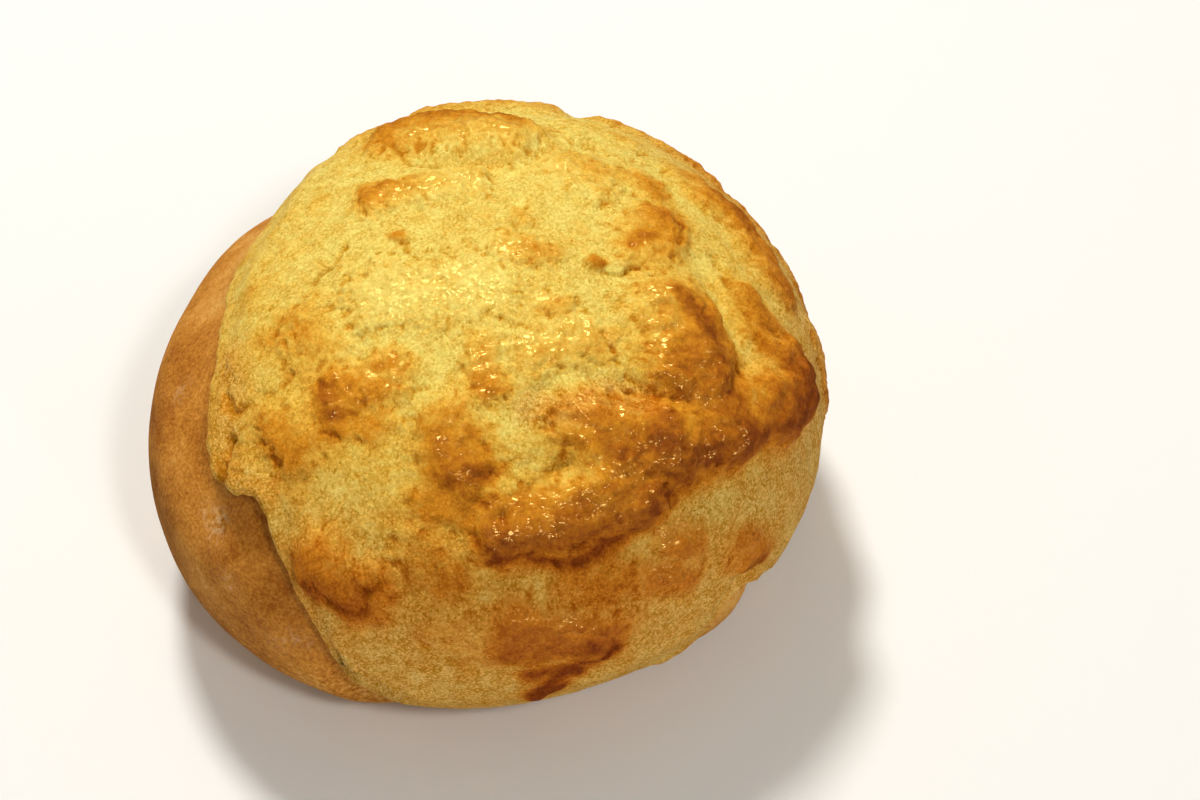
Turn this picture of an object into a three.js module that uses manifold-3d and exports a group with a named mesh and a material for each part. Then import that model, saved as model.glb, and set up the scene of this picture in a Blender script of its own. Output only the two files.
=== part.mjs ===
// A sweet bun under a cookie crust: a soft round roll of bread dough, and the sheet of cookie
// dough that is laid over it before baking, which cracks into browned mounds as the roll rises.
//
// Millimetres, +Z up, the flat underside on z = 0. A place on the bun is given by two angles at
// the middle of its girth: the bearing, 0 at +X and 90 at +Y, and the tilt down from +Z.

import * as THREE from "three";
import { mergeVertices } from "three/addons/utils/BufferGeometryUtils.js";
import Module from "manifold-3d";

const wasm = await Module();
wasm.setup();

// The whole bun, with its crust on.
const girthRadius = 47.3;
const girthHeight = 23;
const domeHeight = 33.6; // from the girth up to the crown
const footDepth = 30; // from the girth down to where the underside would close, were it not flat
const domePower = 2.2; // 2 is an ellipse, and more is squarer
const footPower = 2.4;
const oval = { share: 0.036, bearing: 40 }; // longer along this bearing
const threeSided = { share: 0.02, bearing: 93.5 };
const footprintShift = { x: -0.66, y: -0.42 }; // puts the middle of the footprint on the origin

// The cookie crust.
const crustThickness = 3;
const thinnestCrust = 0.9;
const crustGap = 0.3; // clearance between the crust and the bread
const hemRoundness = 1.6; // how far the rolled edge stands out past the last of the top face
const hemBlend = 9; // over this length the hem's own thickness becomes the crust's
const hemCalm = 4; // the relief dies out over this length before the hem

// Where the bread is bare it swells out past the crust's underside.
const breadSwell = 2.3;
const swellStart = 3;
const swellEnd = 14;

// The hem of the crust: [bearing, tilt, thickness] all the way round.
const hemStations = [
  [-176, 57, 1.3],
  [-166, 59, 1.5],
  [-157, 63, 1.8],
  [-150, 66.5, 2.4],
  [-144, 69, 3.0],
  [-140, 68.5, 3.2],
  [-136, 66.5, 3.2],
  [-132, 67.5, 3.0],
  [-128, 72, 2.4],
  [-122, 79, 1.9],
  [-117, 87, 1.7],
  [-113, 96, 1.7],
  [-106, 103, 1.9],
  [-88, 106, 2.0],
  [-70, 105, 2.0],
  [-57, 104, 2.0],
  [-51, 102, 1.8],
  [-47.5, 97, 1.6],
  [-44, 92, 1.6],
  [-40.5, 91, 1.6],
  [-37, 94.5, 1.8],
  [-33, 98, 2.2],
  [-29, 101, 2.4],
  [-20, 102, 2.2],
  [0, 104, 2.2],
  [30, 101, 2.2],
  [60, 96, 2.2],
  [90, 88, 2.2],
  [115, 76, 2.2],
  [135, 63, 1.7],
  [150, 56, 1.3],
  [167, 56, 1.2],
];

// A swell is raised along a short line: [from, to, half-width, height], each end [bearing, tilt].
const swells = [
  [[118, 48], [79, 43], 6.5, 2.5], // back cap
  [[139, 31], [106, 20], 5, 1.2], // top left
  [[10, 5], [42, 16], 5.5, 0.9], // top middle
  [[58, 33], [36, 35], 5, 1], // top right
  [[9, 31], [22, 44], 6, 1.8], // crown's right shoulder
  [[-152, 25], [-104, 11], 8, 0.7], // crown
  [[165, 19], [166, 20], 1.8, 0.8], // left knob
  [[-4, 23], [-5, 24], 1.8, 0.6], // right knob
  [[-132, 45], [-124, 37], 4.5, 1.1], // left mound
  [[-128, 48], [-118, 46], 3, 0.6], // fold under the left mound
  [[-89, 27], [-88, 33], 4, 0.9], // centre mound
  [[-101, 42], [-96, 49], 5.5, 1.5], // front mound
  [[-97, 55], [-97, 56], 3, 0.6], // foot of the front mound
  [[-138, 54], [-134, 55], 4.5, 1.2], // hem mound
  [[-119, 71], [-112, 73], 4.5, 1.7], // corner mound
  [[-84, 79], [-71, 83], 5.5, 1.3], // low front mound
  [[-81, 90], [-81, 97], 2.2, 0.5], // drip below it
  [[-96, 79], [-89, 81], 4, 0.8], // low left mound
  [[-69, 28], [-43, 31], 5, 0.7], // east mound
  [[30, 57], [23, 61], 4.5, 1.5], // rim mounds, from the back round to the right
  [[17, 63], [10, 65], 4.5, 1.4],
  [[0, 55], [-7, 58], 4, 1.1],
  [[39, 55], [34, 58], 4, 0.8],
  [[65, 51], [55, 51], 5, 0.7],
  [[-20, 42], [-30, 50], 8, 3], // big shoulder
  [[-64, 46], [-49, 54], 6, 2.4], // the ridge, from its upper end round to the right
  [[-44, 57], [-33, 62], 5.5, 2.4],
  [[-27, 65], [-14, 73], 5.5, 2.6],
  [[-10, 66], [-11, 71], 4, 1.8],
  [[-86, 60], [-68, 59], 5.5, 2.3], // the ridge's front lobes
  [[-64, 55], [-60, 60], 5.5, 2.2],
  [[-158, 42], [-146, 40], 5, 0.7], // west mound
  [[-103, 65], [-97, 67], 4.5, 0.7], // south mound
  [[-74, 71], [-67, 72], 4, 0.7], // under the ridge
  [[-61, 75], [-54, 78], 3.5, 0.6], // low patches on the right flank
  [[-55, 70], [-51, 73], 3, 0.6],
  [[-42, 81], [-37, 87], 3, 0.7],
  [[95, 62], [85, 66], 6, 1.4], // the back flank
  [[60, 68], [48, 72], 5, 1.3],
  [[118, 62], [110, 68], 4, 0.9],
  [[70, 84], [60, 86], 4, 0.9],
  [[35, 82], [25, 84], 5, 1.2],
  [[5, 80], [-2, 84], 4, 0.9],
];

// A furrow is sunk along a line of places: [places, half-width, depth].
const furrows = [
  [[[8, 47], [-13, 53], [-28, 59]], 2.4, 1.1], // beside the big shoulder
  [[[98, 20], [70, 34], [56, 50]], 2.6, 0.9], // across the back of the top
  [[[120, 41], [111, 33], [84, 27]], 2, 1.1], // under the back cap
  [[[-70, 38], [-71, 49]], 2, 0.8], // above the ridge's front lobes
  [[[-74, 52], [-88, 58]], 2, 1],
  [[[-57, 40], [-37, 52]], 2, 0.9], // between the big shoulder and the ridge
  [[[-89, 67], [-60, 69], [-38, 69], [-14, 85]], 2.8, 1.2], // the fold under the ridge
  [[[-151, 57], [-147, 62], [-144, 66]], 2.2, 0.8], // where the hem is broken
  [[[-110, 72], [-109, 79]], 2.4, 0.7], // beside the corner mound
];

const radians = THREE.MathUtils.degToRad;
const degrees = THREE.MathUtils.radToDeg;
const { clamp, lerp, smoothstep } = THREE.MathUtils;

// The unit vector that points at a place on the bun.
function direction(bearing, tilt) {
  return new THREE.Vector3().setFromSphericalCoords(1, radians(tilt), radians(bearing + 90))
    .applyAxisAngle(new THREE.Vector3(1, 0, 0), Math.PI / 2);
}

// [bearing, tilt] of a unit vector.
function placeOf(unit) {
  return [degrees(Math.atan2(unit.y, unit.x)), degrees(Math.acos(clamp(unit.z, -1, 1)))];
}

// A column of the hem's stations at a bearing, by a smooth curve through them that closes.
function hemValue(bearing, column) {
  const count = hemStations.length;
  const station = (i) => {
    const turns = Math.floor(i / count);
    const row = hemStations[i - turns * count];
    return [row[0] + 360 * turns, row[column]];
  };
  let at = bearing;
  while (at < hemStations[0][0]) at += 360;
  let i = 0;
  while (station(i + 1)[0] <= at) i += 1;
  const [before, from, to, after] = [i - 1, i, i + 1, i + 2].map(station);
  const span = to[0] - from[0];
  const startSlope = (to[1] - before[1]) / (to[0] - before[0]);
  const endSlope = (after[1] - from[1]) / (after[0] - from[0]);
  const t = (at - from[0]) / span;
  return (
    (2 * t ** 3 - 3 * t ** 2 + 1) * from[1] +
    (t ** 3 - 2 * t ** 2 + t) * span * startSlope +
    (3 * t ** 2 - 2 * t ** 3) * to[1] +
    (t ** 3 - t ** 2) * span * endSlope
  );
}

// How far a place lies inside the hem, in millimetres along the meridian; negative on bare bread.
function insideHem(bearing, tilt) {
  return radians(hemValue(bearing, 1) - tilt) * girthRadius;
}

// The radius of the smooth outer form from the middle of the girth.
function outerRadius(unit) {
  const [bearing] = placeOf(unit);
  const plan =
    girthRadius *
    (1 +
      oval.share * Math.cos(2 * radians(bearing - oval.bearing)) +
      threeSided.share * Math.cos(3 * radians(bearing - threeSided.bearing)));
  const height = unit.z > 0 ? domeHeight : footDepth;
  const power = unit.z > 0 ? domePower : footPower;
  const flat = Math.hypot(unit.x, unit.y) / plan;
  return (flat ** power + (Math.abs(unit.z) / height) ** power) ** (-1 / power);
}

function breadRadius(unit) {
  const outside = -insideHem(...placeOf(unit));
  return outerRadius(unit) - crustThickness + breadSwell * smoothstep(outside, swellStart, swellEnd);
}

// Distance on the bun from a unit vector to the line between two others, in millimetres.
function distanceToLine(unit, from, to) {
  const line = new THREE.Line3(from, to);
  const nearest = line.closestPointToPoint(unit, true, new THREE.Vector3()).normalize();
  return unit.angleTo(nearest) * girthRadius;
}

const swellLines = swells.map(([from, to, halfWidth, height]) => ({
  ends: [direction(...from), direction(...to)],
  halfWidth,
  height,
}));

const furrowLines = furrows.flatMap(([places, halfWidth, depth]) =>
  places.slice(1).map((place, i) => ({
    ends: [direction(...places[i]), direction(...place)],
    halfWidth,
    depth,
  })),
);

// The height of the mounds less the depth of the furrows.
function relief(unit) {
  const raised = swellLines.reduce((sum, { ends, halfWidth, height }) => {
    const away = distanceToLine(unit, ...ends) / halfWidth;
    return sum + (height * Math.exp(-(away ** 3))) ** 3;
  }, 0);
  const sunk = furrowLines.map(({ ends, halfWidth, depth }) => {
    const away = distanceToLine(unit, ...ends) / halfWidth;
    return depth * Math.exp(-(away ** 2));
  });
  return Math.cbrt(raised) - Math.max(...sunk);
}

// The height of the crust's top face above the bread.
function cover(unit, inside) {
  const [bearing] = placeOf(unit);
  const plain = lerp(hemValue(bearing, 2), crustThickness, smoothstep(inside, 0, hemBlend));
  const height = plain + relief(unit) * smoothstep(inside, 0, hemCalm);
  return Math.max(height, thinnestCrust);
}

// A unit sphere, its poles on Z, with its shared vertices merged.
function merged(geometry) {
  geometry.deleteAttribute("normal");
  geometry.deleteAttribute("uv");
  return mergeVertices(geometry, 1e-5);
}

// Moves each vertex of a sphere to where a function puts its unit vector.
function reshape(geometry, move) {
  const position = geometry.attributes.position;
  const unit = new THREE.Vector3();
  for (let i = 0; i < position.count; i += 1) {
    unit.fromBufferAttribute(position, i).normalize();
    const to = move(unit.clone());
    position.setXYZ(i, to.x, to.y, to.z);
  }
  return geometry;
}

// A point at a height above the bread, in the part's frame.
function abovePlace(unit, height) {
  return unit
    .clone()
    .multiplyScalar(breadRadius(unit) + height)
    .add(new THREE.Vector3(footprintShift.x, footprintShift.y, girthHeight));
}

function solidOf(geometry) {
  return new wasm.Manifold(
    new wasm.Mesh({
      numProp: 3,
      vertProperties: geometry.attributes.position.array,
      triVerts: new Uint32Array(geometry.index.array),
    }),
  );
}

function geometryOf(solid) {
  const { vertProperties, triVerts } = solid.getMesh();
  return new THREE.BufferGeometry()
    .setAttribute("position", new THREE.BufferAttribute(vertProperties, 3))
    .setIndex(new THREE.BufferAttribute(triVerts, 1));
}

// The roll: a round of dough, cut flat where it sat on the tray.
function breadGeometry() {
  const subdivisions = 12;
  const ball = merged(new THREE.IcosahedronGeometry(1, subdivisions));
  const round = reshape(ball, (unit) => abovePlace(unit, 0));
  const trayDepth = 40;
  const trayWidth = 4 * girthRadius;
  const tray = merged(new THREE.BoxGeometry(trayWidth, trayWidth, trayDepth));
  tray.translate(0, 0, -trayDepth / 2);
  return geometryOf(solidOf(round).subtract(solidOf(tray)));
}

// The crust: a sphere whose lower half is pushed up inside its upper half. Its rings run from the
// crown down the top face, round the rolled hem, and back up the underside to the crown.
function crustGeometry() {
  const sectors = 96;
  const topRings = 30;
  const hemRings = 5;
  const undersideRings = 15;
  const rings = topRings + hemRings + undersideRings;
  const evenTilt = 80; // rings near the crown follow this tilt, and those near the hem the hem

  const tiltAt = (share, edge) => share * lerp(evenTilt, edge, share);

  const ball = merged(new THREE.SphereGeometry(1, sectors, rings).rotateX(Math.PI / 2));
  return reshape(ball, (onBall) => {
    const [bearing, polar] = placeOf(onBall);
    const ring = Math.round((polar / 180) * rings);
    const edge = hemValue(bearing, 1) - degrees(hemRoundness / girthRadius);
    if (ring <= topRings) {
      const unit = direction(bearing, tiltAt(ring / topRings, edge));
      return abovePlace(unit, cover(unit, insideHem(...placeOf(unit))));
    }
    if (ring < topRings + hemRings) {
      const round = (Math.PI * (ring - topRings)) / hemRings;
      const unit = direction(bearing, edge + degrees(hemRoundness / girthRadius) * Math.sin(round));
      const top = cover(direction(bearing, edge), hemRoundness);
      return abovePlace(unit, lerp(crustGap, top, (1 + Math.cos(round)) / 2));
    }
    const share = (rings - ring) / undersideRings;
    return abovePlace(direction(bearing, tiltAt(share, edge)), crustGap);
  });
}

const breadMaterial = new THREE.MeshStandardMaterial({
  color: 0xc07a2c,
  roughness: 0.62,
  metalness: 0,
});
const crustMaterial = new THREE.MeshStandardMaterial({
  color: 0xdda545,
  roughness: 0.5,
  metalness: 0,
});

function part(name, geometry, material) {
  const mesh = new THREE.Mesh(geometry, material);
  mesh.name = name;
  return mesh;
}

const bun = new THREE.Group();
bun.add(part("bread", breadGeometry(), breadMaterial));
bun.add(part("cookie_crust", crustGeometry(), crustMaterial));

export default bun;
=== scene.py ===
import math

import bmesh
import bpy
import numpy as np
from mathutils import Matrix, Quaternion, Vector, noise


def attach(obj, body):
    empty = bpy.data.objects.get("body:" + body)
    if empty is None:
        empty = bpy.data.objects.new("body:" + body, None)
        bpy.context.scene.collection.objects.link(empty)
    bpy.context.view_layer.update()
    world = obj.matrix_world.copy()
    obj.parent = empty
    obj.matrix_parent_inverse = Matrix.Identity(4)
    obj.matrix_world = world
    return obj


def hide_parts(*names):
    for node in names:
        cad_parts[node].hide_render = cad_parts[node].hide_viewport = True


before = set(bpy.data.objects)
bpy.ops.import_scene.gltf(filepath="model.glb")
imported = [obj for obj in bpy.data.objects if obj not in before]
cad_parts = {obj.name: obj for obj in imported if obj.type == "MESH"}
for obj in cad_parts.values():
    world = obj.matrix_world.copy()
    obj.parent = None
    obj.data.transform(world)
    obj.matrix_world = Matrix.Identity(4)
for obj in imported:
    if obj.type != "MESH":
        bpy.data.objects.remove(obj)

bl_info = {
    "name": "Cookie-crust bun",
    "version": (1, 0, 0),
    "blender": (4, 5, 0),
    "location": "View3D > Sidebar > Bun",
    "description": "A sweet bread bun under a cracked, browned and glazed cookie crust",
    "category": "Add Mesh",
}

# Lengths in the shape functions are millimetres, and a finished mesh is in metres. A place on the
# bun is given by two angles at the middle of its girth: the bearing, 0 at +X and 90 at +Y, and
# the tilt down from +Z. A unit vector is a row of an array, so each function takes all of them.
MM = 0.001

# The whole bun, which has the same measures in the solids.
GIRTH_RADIUS = 47.3
GIRTH_HEIGHT = 23
DOME_HEIGHT = 33.6  # from the girth up to the crown
FOOT_DEPTH = 30  # from the girth down to where the underside would close, were it not flat
DOME_POWER = 2.2  # 2 is an ellipse, and more is squarer
FOOT_POWER = 2.4
OVAL_SHARE, OVAL_BEARING = 0.036, 40
THREE_SIDED_SHARE, THREE_SIDED_BEARING = 0.02, 93.5
MIDDLE = (-0.66, -0.42, GIRTH_HEIGHT)  # of the girth, which centres the footprint

# The crust and the bread under it, likewise.
CRUST_THICKNESS = 3
THINNEST_CRUST = 0.9
CRUST_GAP = 0.3
HEM_ROUNDNESS = 1.6  # how far the rolled edge stands out past the last of the top face
HEM_BLEND = 9  # over this length the hem's own thickness becomes the crust's
HEM_CALM = 4  # the relief dies out over this length before the hem
BREAD_SWELL = 2.3  # how far the bread swells, between these distances from the hem
SWELL_START, SWELL_END = 3, 14

# What is too fine for the solids: the size of each kind of unevenness, and how high it stands.
SAG_SIZE, SAG_RISE = 14, 0.25  # of the bread
PLATE_SIZE, PLATE_RISE = 6.5, 0.24  # of the crust, like all that follow
SWELLING_SIZE, SWELLING_RISE = 5, 0.4
LUMP_SIZE, LUMP_RISE = 3, 0.2
WRINKLE_SIZE, WRINKLE_RISE = 1.5, 0.11
CRUMB_SIZE, CRUMB_RISE = 1.2, 0.3
CRUMBLE_SIZE, CRUMBLE_DEPTH = 1.5, 0.35
SEED = 2  # draws the noise that makes outlines ragged

# The browning. A mound is browner and darker at its lower edge than at its top, by this share,
# partly real browning and partly painted shade, since light from above falls less on its lower
# side; and what stands up is browner than what lies deep, by these amounts for each millimetre.
BROWNER_AND_SHADED_BELOW = 0.32
MOUNDS_BAKED = 1.05
LUMPS_BAKED = 0.3
FURROWS_BAKED = -0.06
BACK_MIDDLE = (0.15, 0.65, 0.74)  # a unit vector to the middle of the paler back

# The hem of the crust: [bearing, tilt, thickness, lift off the bread] all the way round.
HEM = [
    [-176, 59.5, 1.3, 0],
    [-166, 61, 1.5, 0],
    [-157, 64.5, 1.9, 0],
    [-150, 67.5, 2.6, 0.1],
    [-144, 69.5, 3.0, 0.4],
    [-140, 68.5, 3.2, 0.6],
    [-136, 66.5, 3.2, 0.9],
    [-132, 67.5, 3.0, 0.9],
    [-128, 72, 2.4, 0.5],
    [-122, 79, 1.9, 0.1],
    [-117, 87, 1.7, 0],
    [-113, 96, 1.7, 0],
    [-106, 103, 1.9, 0],
    [-88, 106, 2.0, 0],
    [-70, 105, 2.0, 0],
    [-57, 104.5, 2.0, 0],
    [-50, 104, 1.8, 0],
    [-47, 100, 1.3, 0],
    [-44.5, 95.5, 1.1, 0],
    [-42, 93.5, 1.1, 0],
    [-39.5, 93, 1.1, 0.1],
    [-37, 94.5, 1.4, 0.3],
    [-34, 97.5, 1.8, 0.2],
    [-29, 101, 2.4, 0.1],
    [-20, 102, 2.2, 0],
    [0, 104, 2.2, 0],
    [30, 101, 2.2, 0],
    [60, 96, 2.2, 0],
    [90, 88, 2.2, 0],
    [115, 76, 2.2, 0],
    [135, 66, 1.7, 0],
    [150, 60, 1.3, 0],
    [167, 60, 1.2, 0],
]

# A mound: [from, to, half-width, height, browning, glaze], each end [bearing, tilt].
MOUNDS = [
    [[112, 46], [84, 39], 7, 2.4, 0.55, 0.9],  # back cap
    [[143, 31], [101, 22], 4.6, 1.2, 0.46, 0.9],  # top left
    [[8, 4], [-5, 11], 4.2, 0.9, 0.46, 0.9],  # top middle
    [[56, 14], [49, 12], 2.2, 0.5, 0.42, 0.6],
    [[58, 33], [47, 33], 6.2, 1, 0.44, 0.8],  # top right
    [[43, 40], [34, 43], 3.5, 0.6, 0.46, 0.4],
    [[6, 34], [20, 38], 6, 1.2, 0.48, 0.7],  # crown's right shoulder
    [[-50, 19], [-42, 22], 3, 0.6, 0.36, 0.9],  # small ones right of the crown
    [[-152, 25], [-104, 11], 9, 0.7, 0.02, 0.8],  # crown
    [[165, 19], [166, 20], 1.8, 0.8, 0.6, 0.3],  # left knob
    [[-4, 23], [-5, 24], 1.7, 0.8, 0.66, 0.3],  # right knob
    [[-132, 45], [-124, 37], 4.5, 1.1, 0.5, 0.8],  # left mound
    [[-128, 48], [-118, 46], 3, 0.6, 0.42, 0.5],  # fold under the left mound
    [[-91, 27], [-90, 33], 4.4, 0.9, 0.46, 0.9],  # centre mound
    [[-101, 42], [-96, 49], 5.5, 1.5, 0.5, 0.7],  # front mound
    [[-102, 56], [-95, 57], 3, 0.6, 0.42, 0.5],  # foot of the front mound
    [[-138, 54], [-134, 55], 4.5, 1.2, 0.34, 0.2],  # hem mound
    [[-119, 71], [-112, 73], 4.5, 1.7, 0.48, 0.6],  # corner mound
    [[-84, 79], [-71, 83], 5.5, 1.3, 0.54, 0.9],  # low front mound
    [[-78, 92], [-80, 98], 2, 0.5, 0.9, 0.3],  # drip below it
    [[-96, 79], [-89, 81], 4, 0.8, 0.2, 0.6],  # low left mound
    [[-69, 28], [-43, 31], 5, 0.7, 0.32, 0.9],  # east mound
    [[30, 57], [24, 61], 4.5, 1.3, 0.62, 0.4],  # rim mounds, from the back round to the right
    [[16, 62], [10, 64], 4.5, 1.2, 0.56, 0.4],
    [[-1, 55], [-6, 57], 4, 0.9, 0.46, 0.5],
    [[39, 55], [34, 58], 4, 0.8, 0.36, 0.4],
    [[65, 51], [55, 51], 5, 0.7, 0.22, 0.2],
    [[-20, 42], [-30, 50], 8.2, 2.7, 0.57, 1],  # big shoulder
    [[-64, 46], [-49, 54], 6, 2.4, 0.58, 1],  # the ridge, from its upper end round to the right
    [[-44, 57], [-33, 60.5], 5.3, 2.4, 0.72, 1],
    [[-27, 62.5], [-14, 69], 5.2, 2.6, 0.7, 0.9],
    [[-10, 64], [-11, 69], 4, 1.8, 0.7, 0.7],
    [[-86, 60], [-68, 59], 5.5, 2.3, 0.6, 0.9],  # the ridge's front lobes
    [[-64, 55], [-60, 60], 5.5, 2.2, 0.6, 1],
    [[-158, 42], [-146, 40], 5, 0.7, 0.24, 0.5],  # west mound
    [[-103, 65], [-97, 67], 4.5, 0.7, 0.28, 0.2],  # south mound
    [[-74, 71], [-67, 72], 4, 0.7, 0.44, 0.3],  # under the ridge
    [[-61, 75], [-54, 78], 3.5, 0.6, 0.44, 0.9],  # low patches on the right flank
    [[-55, 70], [-51, 73], 3, 0.6, 0.36, 0.9],
    [[-42, 81], [-37, 87], 3, 0.7, 0.5, 0.8],
    [[-56, 71.5], [-54, 72.5], 1.4, 1.2, 0.46, 1.3],  # beads of glaze on the flank
    [[-60, 76.5], [-57, 77.5], 1.3, 1.2, 0.46, 1.3],
    [[-41, 84], [-39, 85], 1.4, 1.2, 0.6, 1.3],
    [[-77, 78], [-75, 79], 1.3, 1.9, 0.6, 1.3],  # and on the low front mound
    [[-72, 79.5], [-70.5, 80.5], 1.2, 1.9, 0.6, 1.3],
    [[98, 61], [84, 67], 6.5, 1.4, 0.42, 0.3],  # the back flank
    [[83, 59], [78, 62], 3.5, 0.7, 0.26, 0.3],
    [[62, 66], [46, 73], 4.5, 1.3, 0.46, 0.4],
    [[120, 60], [112, 68], 3.5, 0.8, 0.28, 0.2],
    [[74, 82], [60, 86], 3.4, 0.7, 0.3, 0.3],
    [[38, 79], [25, 84], 5, 1.2, 0.5, 0.4],
    [[22, 77], [17, 79], 3, 0.6, 0.34, 0.3],
    [[5, 80], [0, 86], 3.5, 0.7, 0.34, 0.3],
]

# A furrow is sunk along a line of places: [places, half-width, depth].
FURROWS = [
    [[[8, 47], [-13, 53], [-28, 59]], 3, 0.9],  # beside the big shoulder
    [[[98, 20], [70, 34], [56, 50]], 2.6, 0.9],  # across the back of the top
    [[[120, 41], [111, 33], [84, 27]], 2, 1.1],  # under the back cap
    [[[-70, 38], [-71, 49]], 2, 0.8],  # above the ridge's front lobes
    [[[-74, 52], [-88, 58]], 2, 1],
    [[[-57, 40], [-37, 52]], 2, 0.9],  # between the big shoulder and the ridge
    [[[-89, 67], [-60, 69], [-40, 68], [-30, 71], [-14, 81]], 3, 0.7],  # the fold under the ridge
    [[[-147, 54], [-148, 58], [-146, 63], [-142, 68]], 1.4, 0.4],  # where the hem is broken
    [[[-110, 72], [-109, 79]], 1.4, 0.7],  # beside the corner mound
]

# A crack is a narrow split, painted darker along it, a painted shade in the split: [places,
# half-width, depth].
CRACKS = [
    [[[120, 43], [119, 35], [111, 33], [100, 28], [84, 26]], 0.5, 0.6],  # under the back cap
    [[[-71, 41], [-72, 44], [-70, 48]], 0.6, 0.9],  # left of the ridge
    [[[-71, 52], [-78, 53], [-84, 55], [-87, 58]], 0.6, 0.9],  # over the front lobes
    [[[-57, 42], [-47, 45], [-40, 50]], 0.5, 0.7],  # over the ridge
    [[[169, 32], [175, 32], [-178, 34], [-172, 38]], 0.4, 0.8],  # left of the crown
    [[[-155, 59], [-150, 60], [-148, 55], [-145, 51], [-146, 48]], 0.6, 0.6],  # over the hem
    [[[-145, 60], [-146, 63], [-144.5, 65], [-143, 67], [-141, 69]], 0.55, 1],  # broken hem
    [[[-69, 84], [-68, 87], [-68, 90]], 0.5, 0.45],  # beside the low front mound
    [[[-110, 72], [-110, 76]], 0.5, 1],  # beside the corner mound
    [[[-121, 73], [-118, 74], [-114, 76], [-111, 77]], 0.4, 0.6],
    [[[10, 50], [-5, 54], [-12, 59]], 0.5, 0.6],  # along the right rim
    [[[-11, 26], [-11, 29], [-4, 32]], 0.4, 0.5],  # right of the crown
    [[[-40, 32], [-44, 39], [-44, 46]], 0.4, 0.5],  # left of the big shoulder
]

# A stain is browning without relief: [places, half-width, browning].
STAINS = [
    [[[-88, 65], [-81, 67], [-75, 68], [-68, 67], [-64, 66]], 2.2, 0.9],  # under the front lobes
    [[[-87, 62], [-77, 64], [-68, 63], [-60, 62]], 4, 0.78],
    [[[-54, 61], [-44, 61], [-34, 64], [-24, 67], [-18, 72]], 3.6, 0.84],  # under the ridge
    [[[-12, 64], [-11, 69], [-11, 74]], 2.5, 0.84],  # the ridge's right end
    [[[-73, 83], [-68, 88], [-75, 91], [-83, 90]], 2, 0.88],  # foot of the low front mound
    [[[-75, 92], [-79, 92], [-81, 96]], 2.2, 1],  # drip
    [[[-80, 95], [-81, 101]], 1.1, 1],
    [[[-120, 73], [-114, 75], [-110, 75]], 1.6, 0.75],  # foot of the corner mound
    [[[-131, 48], [-126, 47]], 2.2, 0.78],  # on the left mound
    [[[-123, 36], [-126, 37]], 2, 0.58],
    [[[-96, 50], [-89, 51]], 2.5, 0.88],  # on the front mound
    [[[-15, 42], [-20, 46], [-25, 52], [-28, 57]], 4.2, 0.82],  # on the big shoulder
    [[[6, 31], [13, 36]], 2.6, 0.68],  # on the crown's right shoulder
    [[[108, 49], [96, 48], [85, 43]], 3, 0.64],  # on the back cap
    [[[-50, 55], [-41, 60], [-34, 63]], 3, 0.9],  # on the ridge
]

# Where the dough is torn into crumbs: [places, half-width, amount].
CRUMBS = [
    [[[-114, 90], [-110, 93], [-104, 97]], 2.5, 4],
    [[[-162, 57], [-153, 58], [-148, 63], [-142, 66], [-133, 65]], 3.5, 1],
    [[[-77, 40], [-71, 41], [-63, 42], [-52, 43], [-46, 47]], 2.2, 1.8],
    [[[-88, 66], [-76, 69], [-62, 68], [-45, 68]], 2, 1.4],
]

# Where the bread swells out close to the hem: [places, half-width, how much closer].
EARLY_SWELL = [
    [[[-38, 95], [-46, 97], [-54, 104]], 7, 8],
]

# The bread is darker beside the broken hem: [places, half-width, browning].
DARK_BREAD = [
    [[[-134, 71], [-131, 76], [-128, 80]], 7, 0.24],
    [[[-160, 68], [-150, 72]], 5, 0.1],
]

# It is paler close under the crust on the right and at the upper left, and beside the dark part.
PALE_BREAD = [
    [[[-20, 104], [-40, 94], [-56, 100]], 8, 0.5],
    [[[138, 66], [152, 64], [169, 65]], 6, 0.16],
    [[[-155, 75], [-147, 77]], 4, 0.18],
]

# Flour from the baker's hands is left on the bread: [places, half-width, amount].
FLOUR = [
    [[[-143, 77], [-141, 79]], 1.5, 0.4],
    [[[-135, 82], [-134, 84]], 1.2, 0.25],
    [[[-167, 68], [-165, 70]], 1.2, 0.25],
    [[[-124, 90], [-122, 92]], 1.5, 0.2],
]


def directions(bearing, tilt):
    """Unit vectors at places on the bun."""
    turn, lean = np.radians(bearing), np.radians(tilt)
    across = np.sin(lean)
    return np.stack([across * np.cos(turn), across * np.sin(turn), np.cos(lean)], axis=-1)


def places_of(units):
    """The bearings and the tilts of unit vectors."""
    bearing = np.degrees(np.arctan2(units[:, 1], units[:, 0]))
    return bearing, np.degrees(np.arccos(np.clip(units[:, 2], -1, 1)))


def unit_rows(rows):
    return rows / np.linalg.norm(rows, axis=1, keepdims=True)


def smoothstep(value, start, end):
    t = np.clip((value - start) / (end - start), 0, 1)
    return t * t * (3 - 2 * t)


def lerp(a, b, share):
    return a + (b - a) * share


def hem_value(bearing, column):
    """A column of the hem's stations at each bearing, by a smooth curve that closes."""
    rows = np.array(HEM, float)
    last, first = rows[-1:].copy(), rows[:2].copy()
    last[:, 0] -= 360
    first[:, 0] += 360
    rows = np.concatenate([last, rows, first])
    at = np.where(bearing < HEM[0][0], bearing + 360, bearing)
    i = np.searchsorted(rows[:, 0], at, side="right") - 1
    i = np.clip(i, 1, len(rows) - 3)
    x, y = rows[:, 0], rows[:, column]
    span = x[i + 1] - x[i]
    start_slope = (y[i + 1] - y[i - 1]) / (x[i + 1] - x[i - 1])
    end_slope = (y[i + 2] - y[i]) / (x[i + 2] - x[i])
    t = (at - x[i]) / span
    return (
        (2 * t**3 - 3 * t**2 + 1) * y[i]
        + (t**3 - 2 * t**2 + t) * span * start_slope
        + (3 * t**2 - 2 * t**3) * y[i + 1]
        + (t**3 - t**2) * span * end_slope
    )


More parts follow.
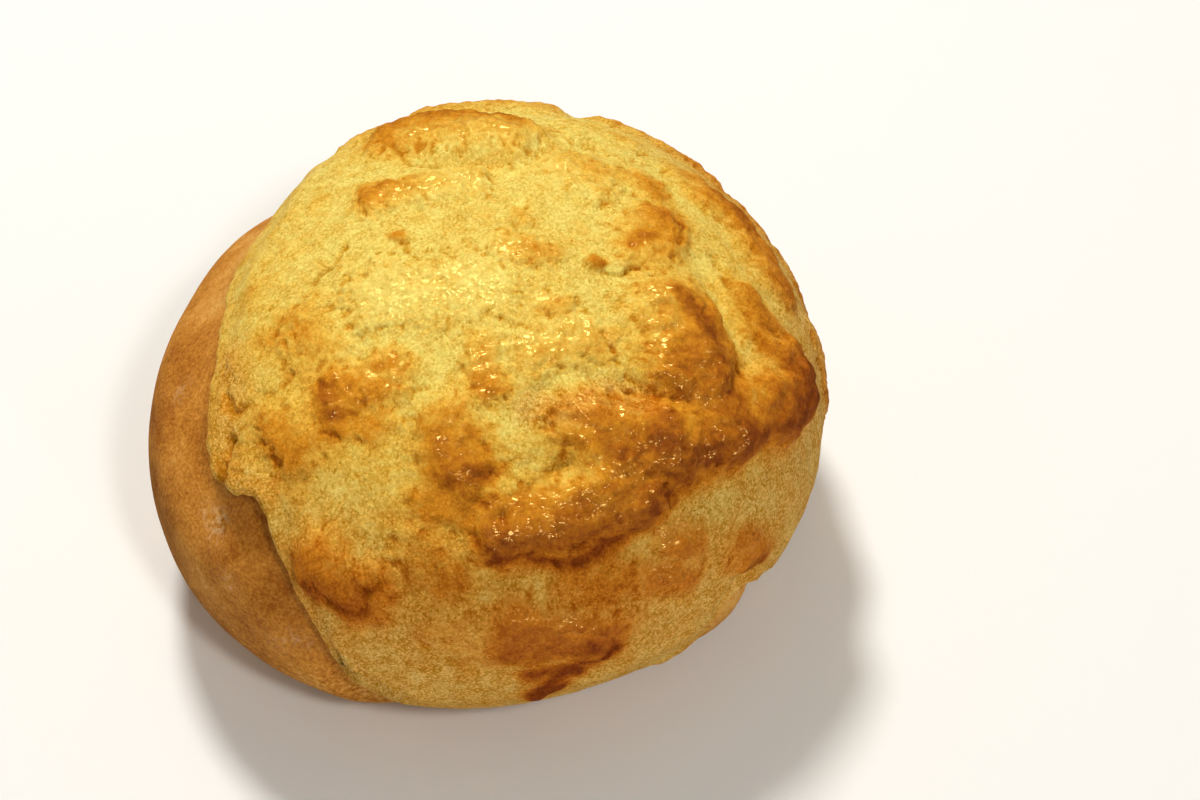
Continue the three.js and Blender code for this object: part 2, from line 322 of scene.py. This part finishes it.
def inside_hem(units):
    """How far each place lies inside the hem along its meridian; negative on bare bread."""
    bearing, tilt = places_of(units)
    return np.radians(hem_value(bearing, 1) - tilt) * GIRTH_RADIUS


def outer_radius(units):
    """The radius of the smooth outer form from the middle of the girth."""
    bearing, _ = places_of(units)
    oval = OVAL_SHARE * np.cos(2 * np.radians(bearing - OVAL_BEARING))
    three = THREE_SIDED_SHARE * np.cos(3 * np.radians(bearing - THREE_SIDED_BEARING))
    plan = GIRTH_RADIUS * (1 + oval + three)
    up = units[:, 2] > 0
    height = np.where(up, DOME_HEIGHT, FOOT_DEPTH)
    power = np.where(up, DOME_POWER, FOOT_POWER)
    flat = np.hypot(units[:, 0], units[:, 1]) / plan
    return (flat**power + (np.abs(units[:, 2]) / height) ** power) ** (-1 / power)


def bread_radius(units):
    beyond = line_field(units, EARLY_SWELL) - inside_hem(units)
    swell = BREAD_SWELL * smoothstep(beyond, SWELL_START, SWELL_END)
    return outer_radius(units) - CRUST_THICKNESS + swell


def noise_rows(points, size, octaves=1, seed=0.0):
    """Noise from -1 to 1 at each point, with features of a size in the points' own unit."""
    at = Vector((seed, 2 * seed, 3 * seed))
    rows = [Vector(p) / size + at for p in points]
    if octaves == 1:
        return np.array([noise.noise(p) for p in rows])
    return np.array([noise.fractal(p, 1.0, 2.0, octaves) for p in rows])


def warped(units, size, reach, seed):
    """Unit vectors shifted by a smooth noise, which makes an outline drawn with them ragged."""
    noise.seed_set(SEED)  # without it a noise vector depends on the clock
    at = Vector((seed, seed, seed))
    scale = GIRTH_RADIUS / size
    push = np.array([noise.noise_vector(Vector(u) * scale + at) for u in units])
    return unit_rows(units + push * (reach / GIRTH_RADIUS))


def distance_to_line(units, start, end):
    """Distance on the bun from each unit vector to the line between two places, in millimetres."""
    a, b = directions(*start), directions(*end)
    along = b - a
    share = np.clip((units - a) @ along / (along @ along), 0, 1)
    nearest = unit_rows(a + share[:, None] * along)
    return np.arccos(np.clip(np.sum(units * nearest, axis=1), -1, 1)) * GIRTH_RADIUS


def distance_to_lines(units, places):
    legs = [distance_to_line(units, a, b) for a, b in zip(places, places[1:])]
    return np.min(legs, axis=0)


def mound_fields(units):
    """The height, the browning and the glaze that the mounds give each place, and how far it is
    up the profile of the nearest of them, from 0 to 1."""
    height, browning, glaze, share = (np.zeros(len(units)) for _ in range(4))
    _, tilt = places_of(units)
    for start, end, half_width, top, brown, shine in MOUNDS:
        away = distance_to_line(units, start, end) / half_width
        profile = np.exp(-(away**4))
        height += (top * profile) ** 3
        # Lower down a mound it is darker: partly real browning, partly painted shade.
        lower = np.radians(tilt - (start[1] + end[1]) / 2) * GIRTH_RADIUS / half_width
        browner_and_shaded = 1 + BROWNER_AND_SHADED_BELOW * np.clip(lower, -1, 1)
        crisp = 2 + 0.7 * top
        browning = np.maximum(browning, brown * browner_and_shaded * np.exp(-((away / 1.1) ** crisp)))
        glaze = np.maximum(glaze, shine * profile)
        share = np.maximum(share, profile)
    return np.cbrt(height), browning, glaze, share


def line_field(units, rows):
    """The deepest or strongest of the rows [places, half-width, amount] at each place."""
    field = np.zeros(len(units))
    for places, half_width, amount in rows:
        away = distance_to_lines(units, places) / half_width
        field = np.maximum(field, amount * np.exp(-(away**2)))
    return field


def ball(cuts):
    """A bmesh of a unit ball: a cube whose faces are cut into a grid and swelled evenly."""
    form = bmesh.new()
    bmesh.ops.create_cube(form, size=2)
    bmesh.ops.subdivide_edges(form, edges=form.edges[:], cuts=cuts, use_grid_fill=True)
    rows = np.array([v.co for v in form.verts])
    return form, unit_rows(np.tan(rows * (math.pi / 4)))


def finished(name, form, points, fields, material):
    """Makes the piece's object from its bmesh, with its points in place and its fields stored."""
    mesh = bpy.data.meshes.new(name)
    form.to_mesh(mesh)
    form.free()
    mesh.vertices.foreach_set("co", (points * MM).astype(np.float32).ravel())
    mesh.polygons.foreach_set("use_smooth", [True] * len(mesh.polygons))
    for field, values in fields.items():
        layer = mesh.attributes.new(field, "FLOAT", "POINT")
        layer.data.foreach_set("value", values.astype(np.float32))
    mesh.materials.append(material)
    mesh.update()
    piece = bpy.data.objects.new(name, mesh)
    bpy.context.scene.collection.objects.link(piece)
    return piece


def points_at(units, radius):
    """Points at a distance from the middle of the girth."""
    return units * radius[:, None] + MIDDLE


def plates(units, size, seed):
    """The crackle of the baked sheet: the distance of each place from the nearest crack between
    two plates, in millimetres, and a number from 0 to 1 that each plate has of its own."""
    at = Vector((seed, seed, seed))
    scale = GIRTH_RADIUS / size
    edges, kinds = [], []
    for u in units:
        (nearest, second, *_), (centre, *_) = noise.voronoi(Vector(u) * scale + at)
        edges.append((second - nearest) * size)
        kinds.append(noise.cell(centre * 37.0))
    return np.array(edges), np.array(kinds)


def lumps_on(units, profile, furrows):
    """The dough's own unevenness: plates, broad swellings and small lumps. It is calmer low on
    the sides between the mounds, and in the furrows."""
    low_share, furrow_share = 0.55, 0.4  # of the unevenness is left there
    points = units * GIRTH_RADIUS
    _, tilt = places_of(units)
    calm = lerp(1, low_share, smoothstep(tilt, 58, 80) * (1 - profile))
    calm = calm * lerp(1, furrow_share, np.clip(furrows, 0, 1))
    edge, kind = plates(warped(units, 4, 1.6, 2.9), PLATE_SIZE, 0.7)
    plate = PLATE_RISE * (0.2 + 0.8 * kind) * smoothstep(edge, 0, 3.5) - 0.1
    swelling = SWELLING_RISE * (np.abs(noise_rows(points, SWELLING_SIZE, 1, 4.9)) - 0.25)
    lump = LUMP_RISE * noise_rows(points, LUMP_SIZE, 1, 1.7)
    return calm * (plate + swelling + lump)


def baking_and_painted_light_by_part(units):
    """How much more the crust is baked in each part of the bun than its mounds alone give it: more
    low at the front left, at the left and on the sides, less on top and at the back. The paler top
    and the darker sides and low front left are partly real baking and partly painted light and
    shade, as light from above leaves them.
    """
    bearing, tilt = places_of(units)
    front = smoothstep(-bearing, 70, 95)
    low_left = front * smoothstep(tilt, 38, 60) * (1 - smoothstep(tilt, 75, 90))
    left = smoothstep(np.abs(bearing), 135, 160) * smoothstep(tilt, 25, 45)
    side = smoothstep(tilt, 25, 55)
    top = 1 - smoothstep(tilt, 20, 50)
    back = smoothstep(units @ BACK_MIDDLE, 0.8, 0.97)
    return 0.08 * low_left + 0.06 * left + 0.09 * side - 0.12 * top - 0.14 * back


def crust_relief(units):
    """The crust's top face at each place: its relief, the crumbs on it, its cracks, its browning,
    its glaze and how far it has crumbled away."""
    points = units * GIRTH_RADIUS
    ragged = warped(warped(units, 7, 1.6, 3.1), 2.4, 0.65, 8.4)
    height, browning, glaze, profile = mound_fields(ragged)
    furrows = line_field(ragged, FURROWS)
    lumps = lumps_on(units, profile, furrows)
    raised = height * (1 + 0.2 * noise_rows(points, 4, 3, 9.1)) - furrows
    wrinkles = WRINKLE_RISE * noise_rows(points * (0.7, 1, 1), WRINKLE_SIZE, 2, 2.2)
    relief = raised + lumps + wrinkles * lerp(0.4, 1, glaze)

    # A crack comes and goes along its line. The mounds and the torn places crumble, most of all
    # at the mounds' rims.
    broken = lerp(0.3, 1, smoothstep(noise_rows(points, 2.5, 2, 6.3), -0.25, 0.25))
    cracks = broken * line_field(warped(units, 1.8, 0.8, 5.7), CRACKS)
    rim = 4 * profile * (1 - profile)
    crumble = rim * smoothstep(noise_rows(points, CRUMBLE_SIZE, 3, 8.8), 0.1, 0.6)
    crumbly = np.maximum(np.maximum(rim, 0.7 * profile), line_field(ragged, CRUMBS))
    crumbs = CRUMB_RISE * crumbly * noise_rows(points, CRUMB_SIZE, 2, 3.9)

    # The parts' share is partly painted light and shade: paler on top, darker on the sides.
    browning = MOUNDS_BAKED * browning + baking_and_painted_light_by_part(ragged)
    browning += LUMPS_BAKED * lumps + FURROWS_BAKED * furrows
    browning = np.maximum(browning, line_field(ragged, STAINS))
    return relief, crumbs - CRUMBLE_DEPTH * crumble, cracks, browning, glaze, crumble


def linear(hex_colour):
    """The linear RGBA of an sRGB hex colour."""
    parts = [int(hex_colour[i : i + 2], 16) / 255 for i in (1, 3, 5)]
    return [c / 12.92 if c <= 0.04045 else ((c + 0.055) / 1.055) ** 2.4 for c in parts] + [1]


class BunCrustSettings(bpy.types.PropertyGroup):
    """What a user would change on the crust."""

    cuts: bpy.props.IntProperty(
        name="Cuts", description="Cuts along each edge of the cube that it grows from",
        default=127, min=15, max=127,
    )
    granule: bpy.props.FloatProperty(
        name="Granule", description="Width of a granule of the dough",
        default=0.3 * MM, min=0.1 * MM, max=2 * MM, unit="LENGTH",
    )
    wrinkle: bpy.props.FloatProperty(
        name="Wrinkle", description="Width of a wrinkle in the glaze",
        default=1.5 * MM, min=0.5 * MM, max=5 * MM, unit="LENGTH",
    )
    pale: bpy.props.FloatVectorProperty(
        name="Pale dough", description="Colour where it is least baked",
        default=linear("#F0E180"), size=4, min=0, max=1, subtype="COLOR",
    )
    golden: bpy.props.FloatVectorProperty(
        name="Golden", description="Colour of lightly baked dough",
        default=linear("#EBC356"), size=4, min=0, max=1, subtype="COLOR",
    )
    amber: bpy.props.FloatVectorProperty(
        name="Amber", description="Colour of the browned mounds",
        default=linear("#DB9829"), size=4, min=0, max=1, subtype="COLOR",
    )
    brown: bpy.props.FloatVectorProperty(
        name="Brown", description="Colour of the well baked tops",
        default=linear("#B76F1A"), size=4, min=0, max=1, subtype="COLOR",
    )
    dark: bpy.props.FloatVectorProperty(
        name="Dark", description="Colour where glaze has pooled and burnt",
        default=linear("#945016"), size=4, min=0, max=1, subtype="COLOR",
    )
    # Partly painted shade: this tint makes the dough low on the sides rosier and darker.
    flank: bpy.props.FloatVectorProperty(
        name="Flank", description="Tint of the dough low on the sides",
        default=linear("#FFE8F4"), size=4, min=0, max=1, subtype="COLOR",
    )
    # This tint paints shade between the granules, in the cracks and in crumbled pits, over the
    # granules' own darker tones.
    gap: bpy.props.FloatVectorProperty(
        name="Gap", description="Tint of the dough between its granules",
        default=linear("#C7AC48"), size=4, min=0, max=1, subtype="COLOR",
    )


class BunBreadSettings(bpy.types.PropertyGroup):
    """What a user would change on the bread."""

    cuts: bpy.props.IntProperty(
        name="Cuts", description="Cuts along each edge of the cube that it grows from",
        default=89, min=15, max=127,
    )
    pore: bpy.props.FloatProperty(
        name="Pore", description="Width of a pore of the skin",
        default=0.45 * MM, min=0.1 * MM, max=2 * MM, unit="LENGTH",
    )
    bare: bpy.props.FloatVectorProperty(
        name="Bare", description="Colour close under the crust",
        default=linear("#DCA654"), size=4, min=0, max=1, subtype="COLOR",
    )
    light: bpy.props.FloatVectorProperty(
        name="Light", description="Colour of the paler skin",
        default=linear("#CC8A36"), size=4, min=0, max=1, subtype="COLOR",
    )
    baked: bpy.props.FloatVectorProperty(
        name="Baked", description="Colour of the browner skin",
        default=linear("#985614"), size=4, min=0, max=1, subtype="COLOR",
    )
    flour: bpy.props.FloatVectorProperty(
        name="Flour", description="Colour of the flour left on it",
        default=linear("#F0CE9A"), size=4, min=0, max=1, subtype="COLOR",
    )


def add_node(tree, kind, inputs=None, output=0, **settings):
    """Adds a node and gives one of its outputs. inputs maps a socket's name or number to a value
    or to another node's output."""
    made = tree.nodes.new(kind)
    for name, value in settings.items():
        setattr(made, name, value)
    for socket, value in (inputs or {}).items():
        if isinstance(value, bpy.types.NodeSocket):
            tree.links.new(value, made.inputs[socket])
        else:
            made.inputs[socket].default_value = value
    return made.outputs[output] if made.outputs else None


def new_material(name):
    """A material with an empty node tree, and that tree."""
    material = bpy.data.materials.new(name)
    material.use_nodes = True
    material.node_tree.nodes.clear()
    return material, material.node_tree


def fill_ramp(ramp, positions, colours):
    """Gives a colour ramp node its stops."""
    elements = ramp.color_ramp.elements
    while len(elements) < len(positions):
        elements.new(0.5)
    for element, position, colour in zip(elements, positions, colours):
        element.position = position
        element.color = colour


def crust_material(settings):
    """Baked cookie dough under egg glaze.

    The dough is short and sandy, so it is matte, with a grain of sugar and flour that the eye
    reads as fine speckle. Where the glaze lies it is browner, smooth and wet-looking, and its
    wrinkles catch small sharp glints.
    """
    material, tree = new_material("baked_cookie_dough_with_egg_glaze")
    coords = add_node(tree, "ShaderNodeTexCoord", output="Object")
    browning, glaze, crack, crumble, flank = (
        add_node(tree, "ShaderNodeAttribute", output="Fac", attribute_name=name)
        for name in ("browning", "glaze", "crack", "crumble", "flank")
    )
    mottle, blotch, fleck = (
        add_node(
            tree,
            "ShaderNodeTexNoise",
            {"Vector": coords, "Scale": 1 / (size * MM), "Detail": detail, "Roughness": 0.6},
        )
        for size, detail in ((5, 4), (2.4, 3), (1.1, 2))
    )

    # Each granule of the dough has a tone of its own, a few are dark pits, and between them it is
    # sunk and painted darker, a painted shade in these hollows.
    sunk = add_node(
        tree, "ShaderNodeTexVoronoi", {"Vector": coords, "Scale": 1 / settings.granule}
    )
    shade = sunk.node.outputs["Color"]
    sunk = add_node(
        tree,
        "ShaderNodeMapRange",
        {"Value": sunk, "From Min": 0.15, "From Max": 0.75, "To Min": -0.25, "To Max": 0.05},
    )
    pit = add_node(
        tree,
        "ShaderNodeMapRange",
        {"Value": shade, "From Min": 0.84, "From Max": 0.94, "To Min": 0.0, "To Max": 0.5},
    )
    for part, weight in ((shade, 1.1), (pit, 0.5)):
        sunk = add_node(
            tree, "ShaderNodeMath", {0: part, 1: weight, 2: sunk}, operation="MULTIPLY_ADD"
        )

    # They stand out more on the dry dough than under the glaze, more low on the sides and in torn
    # places, and in patches.
    sandiness = 1.0
    for part, start, end, least, most in (
        (glaze, 0.0, 1.0, 1.1, 0.7),
        (blotch, 0.4, 0.6, 0.85, 1.15),
        (flank, 0.0, 1.0, 0.65, 1.05),
    ):
        share = add_node(
            tree,
            "ShaderNodeMapRange",
            {"Value": part, "From Min": start, "From Max": end, "To Min": least, "To Max": most},
        )
        sandiness = add_node(
            tree, "ShaderNodeMath", {0: sandiness, 1: share}, operation="MULTIPLY"
        )

    # How far it is baked: the mounds, then patches and flecks, then the cracks and crumbled rims.
    # The flecks are fainter low on the sides. It is browner low on the sides, partly painted
    # shade.
    # The bump below sinks the browner flecks, so their browning is partly painted shade in these
    # hollows, and the cracks and crumbled rims are browner, partly painted shade in them.
    fleck_weight = add_node(
        tree, "ShaderNodeMapRange", {"Value": flank, "To Min": 0.5, "To Max": 0.25}
    )
    baked = browning
    for part, weight in (
        (mottle, 0.5),
        (blotch, 0.35),
        (fleck, fleck_weight),
        (flank, 0.12),
        (crack, 0.2),
        (crumble, 0.2),
    ):
        baked = add_node(
            tree, "ShaderNodeMath", {0: part, 1: weight, 2: baked}, operation="MULTIPLY_ADD"
        )
    baked = add_node(
        tree, "ShaderNodeMath", {0: baked, 1: 0.6}, operation="SUBTRACT", use_clamp=True
    )
    stops = (settings.pale, settings.golden, settings.amber, settings.brown, settings.dark)
    colour = add_node(tree, "ShaderNodeValToRGB", {"Fac": baked})
    fill_ramp(colour.node, (0.0, 0.3, 0.58, 0.84, 1.0), stops)

    # It is a little rosier and darker low on the sides, partly painted shade, and darker between
    # the granules, in the cracks and where it has crumbled: the granules' own tones, and painted
    # shade in these hollows.
    between = add_node(
        tree, "ShaderNodeMath", {0: sunk, 1: sandiness}, operation="MULTIPLY"
    )
    for part, weight in ((crumble, 0.4), (crack, 0.8)):
        between = add_node(
            tree,
            "ShaderNodeMath",
            {0: part, 1: weight, 2: between},
            operation="MULTIPLY_ADD",
            use_clamp=True,
        )
    for share, tint in ((flank, settings.flank), (between, settings.gap)):
        colour = add_node(
            tree,
            "ShaderNodeMix",
            {"Factor": share, 6: colour, 7: tint},
            output=2,
            data_type="RGBA",
            blend_type="MULTIPLY",
        )
    bump = add_node(
        tree,
        "ShaderNodeBump",
        {"Strength": sandiness, "Distance": -0.12 * MM, "Height": sunk},
    )
    bump = add_node(
        tree,
        "ShaderNodeBump",
        {"Strength": sandiness, "Distance": -0.16 * MM, "Height": fleck, "Normal": bump},
    )

    # The glaze lies in patches. It is smooth but for soft wrinkles that run across.
    across = add_node(tree, "ShaderNodeMapping", {"Vector": coords, "Scale": (0.6, 1.0, 1.0)})
    wrinkle = add_node(
        tree,
        "ShaderNodeTexNoise",
        {"Vector": across, "Scale": 1 / settings.wrinkle, "Detail": 1.5},
    )
    glazed = add_node(tree, "ShaderNodeMath", {0: glaze, 1: blotch}, operation="ADD")
    glazed = add_node(
        tree,
        "ShaderNodeMapRange",
        {"Value": glazed, "From Min": 1.1, "From Max": 1.5, "To Min": 0.0, "To Max": 0.75},
    )
    bump = add_node(
        tree,
        "ShaderNodeBump",
        {"Strength": glazed, "Distance": 0.4 * MM, "Height": wrinkle, "Normal": bump},
    )
    glaze_top = add_node(
        tree, "ShaderNodeBump", {"Distance": 0.65 * MM, "Height": wrinkle}
    )
    shader = add_node(
        tree,
        "ShaderNodeBsdfPrincipled",
        {
            "Base Color": colour,
            "Roughness": 0.6,
            "Normal": bump,
            "IOR": 1.45,
            "Specular IOR Level": 0.06,
            "Coat Weight": glazed,
            "Coat Roughness": 0.18,
            "Coat IOR": 1.4,
            "Coat Normal": glaze_top,
            "Subsurface Weight": 0.2,
            "Subsurface Radius": (1.0, 0.6, 0.25),
            "Subsurface Scale": 0.5 * MM,
        },
    )
    add_node(tree, "ShaderNodeOutputMaterial", {"Surface": shader})
    return material


def bread_material(settings):
    """Baked bread crust.

    It is a thin dry skin with fine pores, so the eye sees a dull satin, mottled from gold to
    brown, with a dusting of flour here and there.
    """
    material, tree = new_material("baked_bread_skin")
    coords = add_node(tree, "ShaderNodeTexCoord", output="Object")
    browning = add_node(tree, "ShaderNodeAttribute", output="Fac", attribute_name="browning")
    flour = add_node(tree, "ShaderNodeAttribute", output="Fac", attribute_name="flour")
    cloud, dapple, dust, pores = (
        add_node(
            tree,
            "ShaderNodeTexNoise",
            {"Vector": coords, "Scale": 1 / (size * MM), "Detail": detail, "Roughness": 0.6},
        )
        for size, detail in ((10, 5), (2, 3), (0.8, 2), (settings.pore / MM, 2))
    )

    # How far it is baked: clouds, dapples and pores, and specks that grow stronger lower down.
    height = add_node(tree, "ShaderNodeSeparateXYZ", {"Vector": coords}, output=2)
    speck_weight = add_node(
        tree,
        "ShaderNodeMapRange",
        {
            "Value": height,
            "From Min": 26 * MM,
            "From Max": 12 * MM,
            "To Min": 0.0,
            "To Max": 2.4,
        },
    )
    speck = add_node(tree, "ShaderNodeMath", {0: dust, 1: 0.5}, operation="SUBTRACT")
    baked = browning
    for part, weight in ((speck, speck_weight), (cloud, 1.6), (dapple, 0.7), (pores, 1.4)):
        baked = add_node(
            tree, "ShaderNodeMath", {0: part, 1: weight, 2: baked}, operation="MULTIPLY_ADD"
        )
    baked = add_node(
        tree, "ShaderNodeMath", {0: baked, 1: 1.55}, operation="SUBTRACT", use_clamp=True
    )
    colour = add_node(tree, "ShaderNodeValToRGB", {"Fac": baked})
    fill_ramp(colour.node, (0.0, 0.35, 1.0), (settings.bare, settings.light, settings.baked))

    # The flour clings as dust.
    dusted = add_node(
        tree, "ShaderNodeMath", {0: dust, 1: 0.42}, operation="SUBTRACT", use_clamp=True
    )
    dusted = add_node(tree, "ShaderNodeMath", {0: dusted, 1: flour}, operation="MULTIPLY")
    dusted = add_node(
        tree, "ShaderNodeMath", {0: dusted, 1: 5.0}, operation="MULTIPLY", use_clamp=True
    )
    colour = add_node(
        tree,
        "ShaderNodeMix",
        {"Factor": dusted, 6: colour, 7: settings.flour},
        output=2,
        data_type="RGBA",
    )
    bump = add_node(
        tree, "ShaderNodeBump", {"Distance": -0.15 * MM, "Height": pores}
    )
    bump = add_node(
        tree, "ShaderNodeBump", {"Distance": -0.3 * MM, "Height": dapple, "Normal": bump}
    )
    shader = add_node(
        tree,
        "ShaderNodeBsdfPrincipled",
        {
            "Base Color": colour,
            "Roughness": 0.55,
            "Normal": bump,
            "IOR": 1.45,
            "Specular IOR Level": 0.08,
        },
    )
    add_node(tree, "ShaderNodeOutputMaterial", {"Surface": shader})
    return material


class BUN_OT_crust(bpy.types.Operator):
    """Make the cookie crust with its mounds, cracks and glaze"""

    bl_idname = "bun.crust"
    bl_label = "Cookie crust"

    top_share = 0.74  # of the ball's polar angle, and the top face takes this much of it
    hem_share = 0.08  # the rolled hem takes this much, and the underside the rest
    even_tilt = 80  # rows near the crown are spaced as if the hem were level at this tilt

    def execute(self, context):
        settings = context.scene.bun_crust
        form, units = ball(settings.cuts)
        bearing, polar = places_of(units)
        hem_turn = math.degrees(HEM_ROUNDNESS / GIRTH_RADIUS)
        edge = hem_value(bearing, 1) - hem_turn
        rim = directions(bearing, edge) * GIRTH_RADIUS
        edge = edge + 0.9 * noise_rows(rim, 5, 3, 6.6) + 0.5 * noise_rows(rim, 1.4, 2, 2.4)

        # From the ball's top to its bottom, its rows go down the top face, round the rolled hem
        # and back up the underside.
        share = polar / 180
        top_end = self.top_share
        hem_end = self.top_share + self.hem_share
        on_top = share <= top_end
        on_hem = (share > top_end) & (share < hem_end)
        inward = np.where(on_top, share / top_end, (1 - share) / (1 - hem_end))
        inward = np.clip(inward, 0, 1)
        round_hem = np.clip((share - top_end) / self.hem_share, 0, 1) * math.pi
        tilt = inward * lerp(self.even_tilt, edge, inward)
        tilt = np.where(on_hem, edge + hem_turn * np.sin(round_hem), tilt)
        places = directions(bearing, tilt)

        # The hem and the underside take the finish of the top face's edge above them.
        face = directions(bearing, np.where(on_top, tilt, edge))
        inside = np.maximum(inside_hem(face), 0)
        relief, crumbs, cracks, browning, glaze, crumble = crust_relief(face)
        torn = 0.8 * np.minimum(line_field(face, CRUMBS), 1)
        # Where the dough is grainier and, partly as painted shade, tinted rosier and darker.
        flank = np.maximum(smoothstep(tilt, 50, 80), torn)

        # The height of each point over the bread.
        plain = lerp(hem_value(bearing, 2), CRUST_THICKNESS, smoothstep(inside, 0, HEM_BLEND))
        cover = np.maximum(plain + relief * smoothstep(inside, 0, HEM_CALM), THINNEST_CRUST)
        fine = crumbs * smoothstep(inside, -1, 2) - cracks * smoothstep(inside, 0, 2)
        cover = np.maximum(cover + fine, THINNEST_CRUST)
        height = np.where(on_top, cover, CRUST_GAP)
        height = np.where(on_hem, lerp(CRUST_GAP, cover, (1 + np.cos(round_hem)) / 2), height)
        height = height + hem_value(bearing, 3) * (1 - smoothstep(inside, 0, 5))
        points = points_at(places, bread_radius(places) + height)

        fields = {
            "browning": browning,
            "glaze": glaze,
            "crack": np.minimum(cracks, 1),
            "crumble": crumble,
            "flank": flank,
        }
        piece = finished(
            "crust_of_cookie_dough", form, points, fields, crust_material(settings)
        )
        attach(piece, "root")
        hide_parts("cookie_crust")
        return {"FINISHED"}


class BUN_OT_bread(bpy.types.Operator):
    """Make the round of bread under the crust"""

    bl_idname = "bun.bread"
    bl_label = "Bread"

    def execute(self, context):
        settings = context.scene.bun_bread
        form, units = ball(settings.cuts)
        sag = SAG_RISE * noise_rows(units * GIRTH_RADIUS, SAG_SIZE, 2, 7.7)
        to_tray = GIRTH_HEIGHT / np.maximum(-units[:, 2], 1e-6)
        points = points_at(units, np.minimum(bread_radius(units) + sag, to_tray))
        darker = line_field(units, DARK_BREAD) - line_field(units, PALE_BREAD)
        flour = line_field(warped(units, 5, 3, 1.9), FLOUR)
        fields = {"browning": 0.2 + darker, "flour": flour}
        piece = finished("roll_of_bread", form, points, fields, bread_material(settings))
        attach(piece, "root")
        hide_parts("bread")
        return {"FINISHED"}


def add_camera(target):
    """A camera that looks down at the bun, which stands a little left of the middle."""
    lens, sensor = 85, 36
    image_width, image_height = 1200, 800
    target_x, target_y = 492, 382
    pixels_per_mm = 7.1
    elevation = math.radians(50)
    focal = image_width * lens / sensor
    distance = focal / pixels_per_mm * MM
    back = Vector((0, -math.cos(elevation), math.sin(elevation)))
    yaw = math.atan((image_width / 2 - target_x) / focal)
    pitch = math.atan((image_height / 2 - target_y) / focal)
    turn = (-back).to_track_quat("-Z", "Y")
    turn = turn @ Quaternion((0, 1, 0), -yaw) @ Quaternion((1, 0, 0), -pitch)

    data = bpy.data.cameras.new("camera")
    data.lens = lens
    data.sensor_width = sensor
    camera = bpy.data.objects.new("camera", data)
    camera.location = target + back * distance
    camera.rotation_mode = "QUATERNION"
    camera.rotation_quaternion = turn
    bpy.context.scene.collection.objects.link(camera)
    bpy.context.scene.camera = camera


def add_floor():
    """A plain sheet of pale matte card, which gives the eye nothing but a soft shadow."""
    form = bmesh.new()
    bmesh.ops.create_grid(form, x_segments=1, y_segments=1, size=3)
    mesh = bpy.data.meshes.new("floor")
    form.to_mesh(mesh)
    form.free()
    material, tree = new_material("pale_matte_card")
    shader = add_node(
        tree,
        "ShaderNodeBsdfPrincipled",
        {"Base Color": linear("#ECF3FF"), "Roughness": 0.9},
    )
    add_node(tree, "ShaderNodeOutputMaterial", {"Surface": shader})
    mesh.materials.append(material)
    floor = bpy.data.objects.new("floor", mesh)
    floor.visible_glossy = False
    bpy.context.scene.collection.objects.link(floor)


def add_lamps(target):
    """Soft round lamps that point at the bun: [name, place, size, watts, colour, gleam]. The
    gleams are seen in the glaze alone, as gold cards beside the lamps would be."""
    for name, place, size, watts, colour, gleam in (
        ("key", (-0.16, 0.42, 0.82), 0.16, 6.8, "#FFF6E4", False),
        ("fill", (0.22, -0.52, 0.80), 0.12, 2.6, "#FFF6E4", False),
        ("low front", (0.45, -0.78, 0.45), 0.05, 0.6, "#FFF6E4", False),
        ("key gleam", (-0.02, 0.48, 0.80), 0.22, 15, "#FFD680", True),
        ("fill gleam", (-0.10, -0.55, 0.80), 0.14, 8, "#FFD680", True),
        ("low front gleam", (0.20, -0.90, 0.50), 0.10, 4, "#FFD680", True),
        ("side gleam", (0.75, -0.45, 0.55), 0.08, 3, "#FFD680", True),
    ):
        light = bpy.data.lights.new(name, "AREA")
        light.shape = "DISK"
        light.size = size
        light.energy = watts
        light.color = linear(colour)[:3]
        lamp = bpy.data.objects.new(name, light)
        lamp.visible_glossy = gleam
        lamp.visible_diffuse = not gleam
        lamp.location = place
        lamp.rotation_mode = "QUATERNION"
        lamp.rotation_quaternion = (target - Vector(place)).to_track_quat("-Z", "Y")
        bpy.context.scene.collection.objects.link(lamp)


class BUN_OT_stage(bpy.types.Operator):
    """Make the camera, the lights and the floor"""

    bl_idname = "bun.stage"
    bl_label = "Stage"

    def execute(self, context):
        target = Vector((0, 0, 28.5)) * MM
        add_camera(target)
        add_floor()
        add_lamps(target)
        world = bpy.data.worlds.new("studio")
        world.use_nodes = True
        background = world.node_tree.nodes["Background"]
        background.inputs["Color"].default_value = linear("#FFF6E8")
        background.inputs["Strength"].default_value = 0.24
        world.cycles_visibility.glossy = False
        context.scene.world = world
        context.scene.view_settings.view_transform = "Standard"
        return {"FINISHED"}


class BUN_PT_panel(bpy.types.Panel):
    """The bun's pieces and their settings"""

    bl_label = "Bun"
    bl_idname = "BUN_PT_panel"
    bl_space_type = "VIEW_3D"
    bl_region_type = "UI"
    bl_category = "Bun"

    def draw(self, context):
        for operator in (BUN_OT_bread, BUN_OT_crust, BUN_OT_stage):
            self.layout.operator(operator.bl_idname)
        for settings in (context.scene.bun_bread, context.scene.bun_crust):
            for name in type(settings).__annotations__:
                self.layout.prop(settings, name)


CLASSES = (
    BunCrustSettings,
    BunBreadSettings,
    BUN_OT_crust,
    BUN_OT_bread,
    BUN_OT_stage,
    BUN_PT_panel,
)


def register():
    for cls in CLASSES:
        bpy.utils.register_class(cls)
    bpy.types.Scene.bun_crust = bpy.props.PointerProperty(type=BunCrustSettings)
    bpy.types.Scene.bun_bread = bpy.props.PointerProperty(type=BunBreadSettings)


def unregister():
    del bpy.types.Scene.bun_bread
    del bpy.types.Scene.bun_crust
    for cls in reversed(CLASSES):
        bpy.utils.unregister_class(cls)


def main():
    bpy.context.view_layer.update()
    register()
    bpy.ops.bun.stage()
    bpy.ops.bun.bread()
    bpy.ops.bun.crust()


if __name__ == "__main__":
    main()
